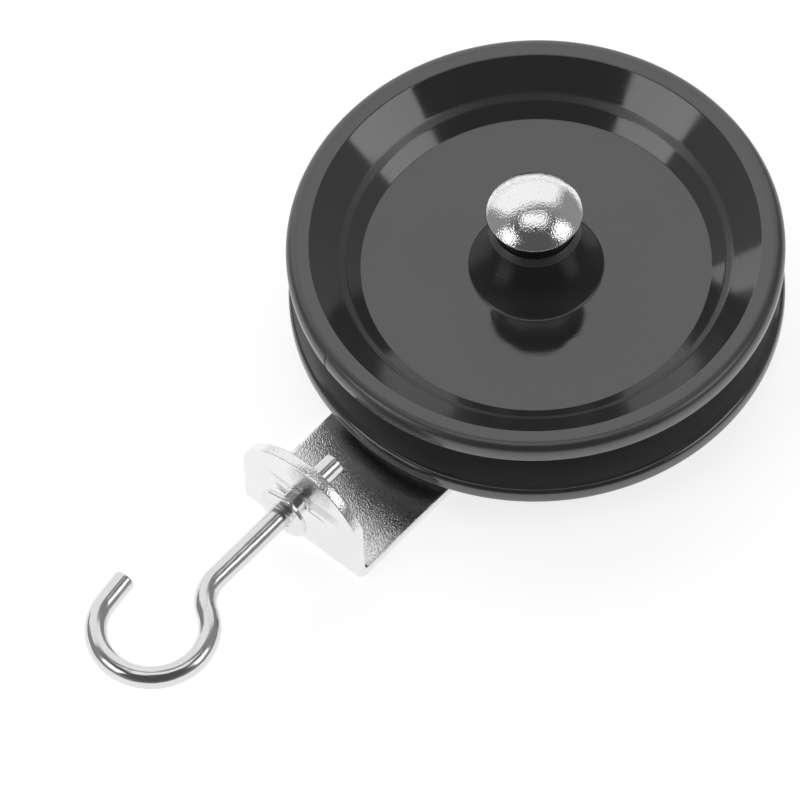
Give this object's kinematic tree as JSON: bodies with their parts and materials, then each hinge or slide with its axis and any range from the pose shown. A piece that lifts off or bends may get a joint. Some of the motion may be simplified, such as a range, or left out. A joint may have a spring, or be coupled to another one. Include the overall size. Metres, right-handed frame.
{
  "type": "single sheave block",
  "caption": "Single-cheek sheave block: a grooved plastic wheel riveted to a bent steel strap whose tab carries a swivel wire hook.",
  "frame": {"origin": "on the axle, at the back face of the strap, which the block rests on", "axes": "+Z along the axle towards the rivet's dome; -Y along the hook's shank, away from the wheel; +X completes a right-handed frame"},
  "size_m": [0.05, 0.0882, 0.0204],
  "materials": {
    "sheave_plastic": "gloss",
    "sleeve_brass": "turned",
    "washer_steel": "satin",
    "spacer_plastic": "matte",
    "rivet_plating": "bright plated",
    "strap_plating": "bright plated",
    "hook_plating": "bright plated"
  },
  "bodies": {
    "cheek": {"strap": "strap_plating", "axle_rivet": "rivet_plating", "axle_sleeve": "sleeve_brass", "back_washer": "washer_steel", "head_spacer": "spacer_plastic"},
    "wheel": {"sheave": "sheave_plastic", "sheave_front_flange": "sheave_plastic", "sheave_back_flange": "sheave_plastic", "sheave_hub": "sheave_plastic"},
    "swivel_hook": {"hook": "hook_plating", "hook_collar": "hook_plating", "hook_retainer": "hook_plating"}
  },
  "joints": [
    {"name": "sheave_spin", "type": "hinge", "parent": "cheek", "child": "wheel", "pos_m": [0, 0, 0.00825], "axis": [0, 0, 1], "continuous": true},
    {"name": "hook_swivel", "type": "hinge", "parent": "cheek", "child": "swivel_hook", "pos_m": [0, -0.0358, 0.00825], "axis": [0, -1, 0], "continuous": true}
  ]
}
